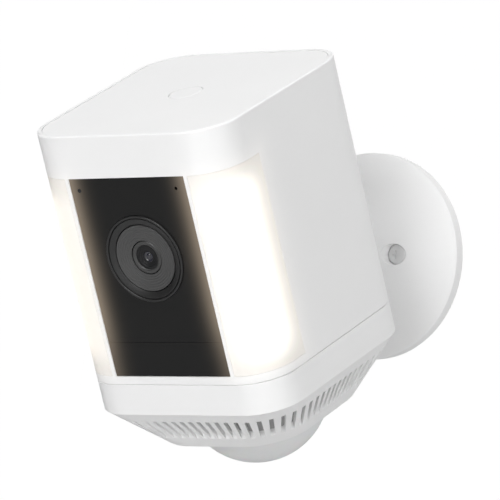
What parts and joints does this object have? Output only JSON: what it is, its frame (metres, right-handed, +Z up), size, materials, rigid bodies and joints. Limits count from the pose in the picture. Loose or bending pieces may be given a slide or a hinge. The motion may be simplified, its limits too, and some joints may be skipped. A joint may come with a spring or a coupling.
{
  "type": "spotlight security camera",
  "caption": "Battery security camera with two lit corner panels, a black lens panel, a slotted lower cover with a sensor dome, and a ball-joint wall bracket.",
  "frame": {"origin": "centre of the wall bracket's back rim, where it meets the wall", "axes": "+Y into the wall, +Z up; the camera head looks out along -Y and hangs on the bracket's ball, tilted down 23.1 degrees at rest"},
  "size_m": [0.09, 0.1968, 0.158],
  "materials": {
    "white_housing": "fine satin moulded polycarbonate blend",
    "white_mount": "fine satin moulded plastic",
    "black_panel": "smooth semi-gloss",
    "black_plastic": "moulded",
    "grey_plastic": "moulded",
    "light_diffuser": "translucent opal, lit warm white",
    "white_reflector": "gloss white",
    "led": "phosphor",
    "lens_glass": "coated",
    "sensor_chip": "epoxy package",
    "circuit_board": "solder mask",
    "dome_plastic": "translucent moulded polyethylene",
    "dust_mesh": "woven",
    "rubber": "matte",
    "speaker_paper": "pressed paper",
    "battery_case": "textured",
    "gold_contact": "plated",
    "steel": "satin",
    "screw_white": "white coated steel"
  },
  "bodies": {
    "wall_mount": {"mount_base": "white_mount", "wall_gasket": "rubber", "mounting_screws": "screw_white"},
    "ball_arm": {"ball_arm": "steel", "arm_washer": "steel", "arm_nut": "steel"},
    "socket_liner": {"socket_liner": "grey_plastic"},
    "camera_head": {"main_housing": "white_housing", "top_cover": "white_housing", "lid_seal": "rubber", "button_board": "circuit_board", "setup_switch": "sensor_chip", "front_panel": "black_panel", "lower_front_panel": "black_panel", "lens_bezel": "black_plastic", "lens_baffle": "black_plastic", "lens_barrel": "black_plastic", "front_lens": "lens_glass", "lens_spacer": "black_plastic", "inner_lenses": "lens_glass", "camera_module_body": "black_plastic", "sensor_board": "circuit_board", "image_sensor": "sensor_chip", "front_chassis": "black_plastic", "microphone": "steel", "light_sensor": "sensor_chip", "right_light_diffuser": "light_diffuser", "left_light_diffuser": "light_diffuser", "light_trays": "white_reflector", "led_boards": "circuit_board", "leds": "led", "bulkhead": "grey_plastic", "bulkhead_seal": "rubber", "battery_bay": "grey_plastic", "battery_contacts": "black_plastic", "main_board": "circuit_board", "main_board_chips": "sensor_chip", "radio_shield": "steel", "wifi_antenna": "steel", "board_screws": "steel", "speaker_box": "black_plastic", "speaker_cone": "speaker_paper", "sensor_bracket": "grey_plastic", "sensor_board_lower": "circuit_board", "motion_sensors": "steel", "socket_cup": "black_plastic", "socket_ring": "white_housing", "socket_screws": "steel", "power_jack": "black_plastic"},
    "setup_button": {"setup_button": "white_housing"},
    "lower_cover": {"lower_cover": "white_housing", "slot_mesh": "dust_mesh", "sensor_dome": "dome_plastic"},
    "cover_button": {"cover_release_button": "white_housing"},
    "battery": {"battery_pack": "battery_case", "battery_pads": "gold_contact"},
    "battery_tab": {"battery_release_tab": "black_plastic"},
    "ir_filter": {"ir_cut_filter": "black_plastic"},
    "port_cap": {"power_port_cap": "rubber"}
  },
  "joints": [
    {"name": "mount_swivel", "type": "hinge", "parent": "wall_mount", "child": "ball_arm", "pos_m": [0, -0.0591, 0], "axis": [0, 1, 0], "range_deg": [-90, 90]},
    {"name": "head_pan", "type": "hinge", "parent": "ball_arm", "child": "socket_liner", "pos_m": [0, -0.0591, 0], "axis": [0, 0, 1], "range_deg": [-30, 30]},
    {"name": "head_tilt", "type": "hinge", "parent": "socket_liner", "child": "camera_head", "pos_m": [0, -0.0591, 0], "axis": [1, 0, 0], "range_deg": [-38, 12]},
    {"name": "setup_button_press", "type": "slide", "parent": "camera_head", "child": "setup_button", "axis": [0, 0.3923, -0.9198], "range_m": [0, 0.0008], "stiffness_N_per_m": 1500, "springref_m": -0.0006},
    {"name": "cover_slide", "type": "slide", "parent": "camera_head", "child": "lower_cover", "axis": [0, 0.3923, -0.9198], "range_m": [0, 0.09]},
    {"name": "cover_release_press", "type": "slide", "parent": "lower_cover", "child": "cover_button", "axis": [0, -0.9198, -0.3923], "range_m": [0, 0.0015], "stiffness_N_per_m": 1200, "springref_m": -0.001},
    {"name": "battery_slide", "type": "slide", "parent": "camera_head", "child": "battery", "axis": [0, 0.3923, -0.9198], "range_m": [0, 0.0812]},
    {"name": "battery_tab_press", "type": "slide", "parent": "battery", "child": "battery_tab", "axis": [1, 0, 0], "range_m": [0, 0.003], "stiffness_N_per_m": 500, "springref_m": -0.001},
    {"name": "ir_filter_slide", "type": "slide", "parent": "camera_head", "child": "ir_filter", "axis": [1, 0, 0], "range_m": [0, 0.005]},
    {"name": "port_cap_pull", "type": "slide", "parent": "camera_head", "child": "port_cap", "axis": [0, 0.9198, 0.3923], "range_m": [0, 0.006]}
  ],
  "couplings": [
    {"joint": "battery_slide", "follows": "cover_slide", "ratio": 0.9}
  ]
}
